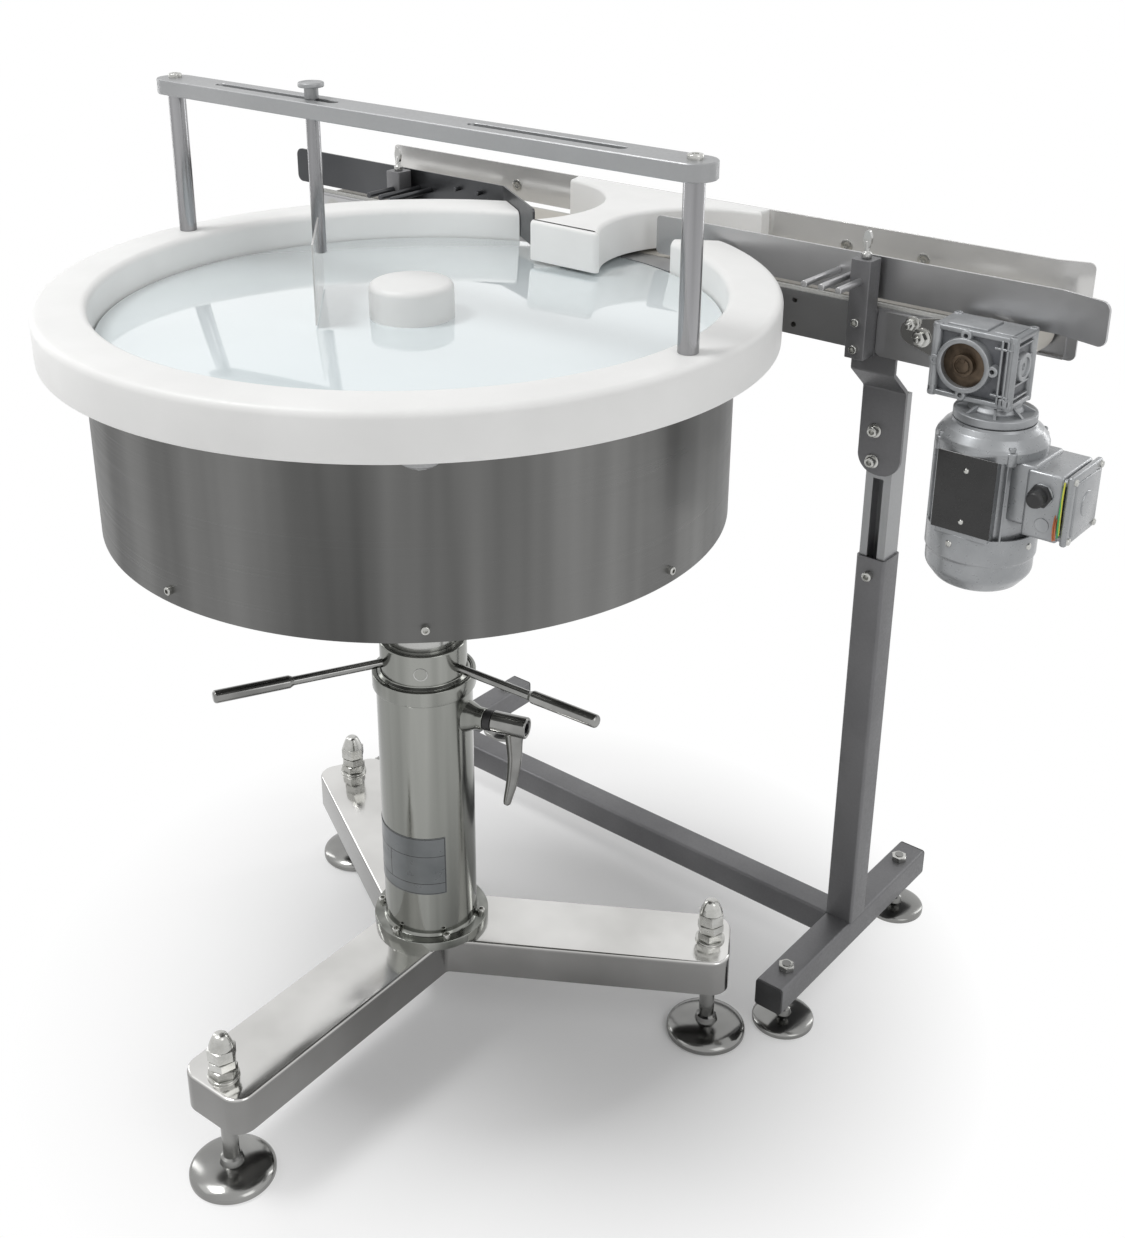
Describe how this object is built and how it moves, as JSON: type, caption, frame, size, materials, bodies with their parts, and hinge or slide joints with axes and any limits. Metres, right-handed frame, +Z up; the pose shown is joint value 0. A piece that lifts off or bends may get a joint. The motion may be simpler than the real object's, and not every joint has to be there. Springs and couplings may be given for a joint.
{
  "type": "packaging line accumulation table",
  "caption": "Round rotary accumulation table on a three-arm lifting column, with a short belt conveyor on its own stand, worm gearmotor, guides and adjustable deflector",
  "frame": {"origin": "middle of the footprint, on the floor", "axes": "+X along the belt's travel, +Y from the turntable to the conveyor, +Z up"},
  "size_m": [1.2676, 1.0512, 1.2248],
  "materials": {
    "white_plastic": "white polyethylene, smooth",
    "steel": "brushed stainless steel sheet and tube",
    "polished": "polished stainless steel",
    "cast_alloy": "cast alloy, bead blasted",
    "grey_bed": "light grey slide bed",
    "belt": "pale smooth belt",
    "zinc": "bright fasteners",
    "black_plastic": "black plastic",
    "motor_paint": "grey-silver motor paint"
  },
  "bodies": {
    "base": {"leg_frame": "steel", "column_tube": "steel", "base_screws": "zinc", "levelling_nuts": "zinc", "stand_foot_bars": "steel", "stand_posts": "steel", "stand_tie_beam": "steel", "tube_end_caps": "black_plastic"},
    "capstan": {"capstan_sleeve": "steel", "capstan_levers": "polished"},
    "clamp": {"clamp_lever": "polished"},
    "table_head": {"lift_screw": "steel", "drum_base": "steel", "drum_skirt": "steel", "head_screws": "zinc", "rim_ring": "white_plastic", "rim_pads": "white_plastic", "bridge_posts": "polished", "bridge_bar": "steel", "table_gearmotor": "cast_alloy"},
    "disc": {"turntable_disc": "polished", "disc_hub": "white_plastic", "disc_carrier": "steel"},
    "deflector_slider": {"deflector_knob": "steel"},
    "deflector": {"deflector_rod": "polished", "deflector_blade": "steel"},
    "conveyor": {"slide_posts": "steel", "height_brackets": "steel", "side_frame_front": "steel", "side_frame_back": "steel", "belt_bed": "steel", "edge_strips": "grey_bed", "drive_end_plates": "steel", "conveyor_belt": "belt", "pulley_bearings": "grey_bed", "transfer_plate": "steel", "back_guide": "steel", "back_guide_screws": "zinc", "guide_blocks": "steel", "transfer_block": "white_plastic", "worm_gearbox": "cast_alloy", "torque_arm": "steel", "motor_housing": "motor_paint", "fan_cover": "motor_paint", "terminal_box": "motor_paint", "terminal_cover": "motor_paint"},
    "guide_right": {"front_guide_right": "steel"},
    "guide_left": {"front_guide_left": "steel"},
    "lock_left": {"wing_screw_front_left": "polished"},
    "lock_right": {"wing_screw_front_right": "polished"},
    "drive_roller": {"drive_pulley": "steel"},
    "tail_roller": {"tail_pulley": "steel"},
    "foot_1": {"table_foot_1": "polished"},
    "foot_2": {"table_foot_2": "polished"},
    "foot_3": {"table_foot_3": "polished"},
    "stand_foot_front_left": {"stand_foot_front_left": "polished"},
    "stand_foot_back_left": {"stand_foot_back_left": "polished"},
    "stand_foot_front_right": {"stand_foot_front_right": "polished"},
    "stand_foot_back_right": {"stand_foot_back_right": "polished"}
  },
  "joints": [
    {"name": "table_lift", "type": "slide", "parent": "base", "child": "table_head", "axis": [0, 0, 1], "range_m": [-0.1, 0.08]},
    {"name": "capstan_turn", "type": "hinge", "parent": "base", "child": "capstan", "pos_m": [-0.03175, -0.1059, 0.4973], "axis": [0, 0, 1], "range_deg": [-4510, 3610]},
    {"name": "clamp_turn", "type": "hinge", "parent": "base", "child": "clamp", "pos_m": [0.04624, -0.08056, 0.469], "axis": [0.9511, 0.309, 0], "range_deg": [-100, 100]},
    {"name": "disc_turn", "type": "hinge", "parent": "table_head", "child": "disc", "pos_m": [-0.03175, -0.1059, 0.979], "axis": [0, 0, 1], "continuous": true},
    {"name": "deflector_slide", "type": "slide", "parent": "table_head", "child": "deflector_slider", "axis": [1, 0, 0], "range_m": [-0.15, 0.03]},
    {"name": "deflector_swing", "type": "hinge", "parent": "deflector_slider", "child": "deflector", "pos_m": [-0.17075, -0.1139, 1.206], "axis": [0, 0, 1], "range_deg": [-50, 20]},
    {"name": "conveyor_lift", "type": "slide", "parent": "base", "child": "conveyor", "axis": [0, 0, 1], "range_m": [-0.1, 0.08]},
    {"name": "guide_left_slide", "type": "slide", "parent": "conveyor", "child": "guide_left", "axis": [0, 1, 0], "range_m": [0, 0.03]},
    {"name": "guide_right_slide", "type": "slide", "parent": "conveyor", "child": "guide_right", "axis": [0, 1, 0], "range_m": [0, 0.015]},
    {"name": "lock_left_turn", "type": "hinge", "parent": "conveyor", "child": "lock_left", "pos_m": [-0.40225, 0.2521, 1.034], "axis": [0, 0, 1], "range_deg": [-180, 180]},
    {"name": "lock_right_turn", "type": "hinge", "parent": "conveyor", "child": "lock_right", "pos_m": [0.33875, 0.2521, 1.034], "axis": [0, 0, 1], "range_deg": [-180, 180]},
    {"name": "drive_roller_turn", "type": "hinge", "parent": "conveyor", "child": "drive_roller", "pos_m": [0.49025, 0.3276, 0.952], "axis": [0, 1, 0], "continuous": true},
    {"name": "tail_roller_turn", "type": "hinge", "parent": "conveyor", "child": "tail_roller", "pos_m": [-0.55375, 0.3276, 0.952], "axis": [0, 1, 0], "continuous": true},
    {"name": "foot_1_turn", "type": "hinge", "parent": "base", "child": "foot_1", "pos_m": [-0.01698, -0.4736, 0], "axis": [0, 0, 1], "continuous": true},
    {"name": "foot_2_turn", "type": "hinge", "parent": "base", "child": "foot_2", "pos_m": [0.27931, 0.09074, 0], "axis": [0, 0, 1], "continuous": true},
    {"name": "foot_3_turn", "type": "hinge", "parent": "base", "child": "foot_3", "pos_m": [-0.35757, 0.06516, 0], "axis": [0, 0, 1], "continuous": true},
    {"name": "stand_foot_front_left_turn", "type": "hinge", "parent": "base", "child": "stand_foot_front_left", "pos_m": [-0.41181, 0.17274, 0], "axis": [0, 0, 1], "continuous": true},
    {"name": "stand_foot_back_left_turn", "type": "hinge", "parent": "base", "child": "stand_foot_back_left", "pos_m": [-0.41181, 0.4826, 0], "axis": [0, 0, 1], "continuous": true},
    {"name": "stand_foot_front_right_turn", "type": "hinge", "parent": "base", "child": "stand_foot_front_right", "pos_m": [0.34831, 0.17274, 0], "axis": [0, 0, 1], "continuous": true},
    {"name": "stand_foot_back_right_turn", "type": "hinge", "parent": "base", "child": "stand_foot_back_right", "pos_m": [0.34831, 0.4826, 0], "axis": [0, 0, 1], "continuous": true}
  ],
  "couplings": [
    {"joint": "capstan_turn", "follows": "table_lift", "rad_per_m": 785.4},
    {"joint": "conveyor_lift", "follows": "table_lift", "ratio": 1},
    {"joint": "tail_roller_turn", "follows": "drive_roller_turn", "ratio": 1}
  ]
}
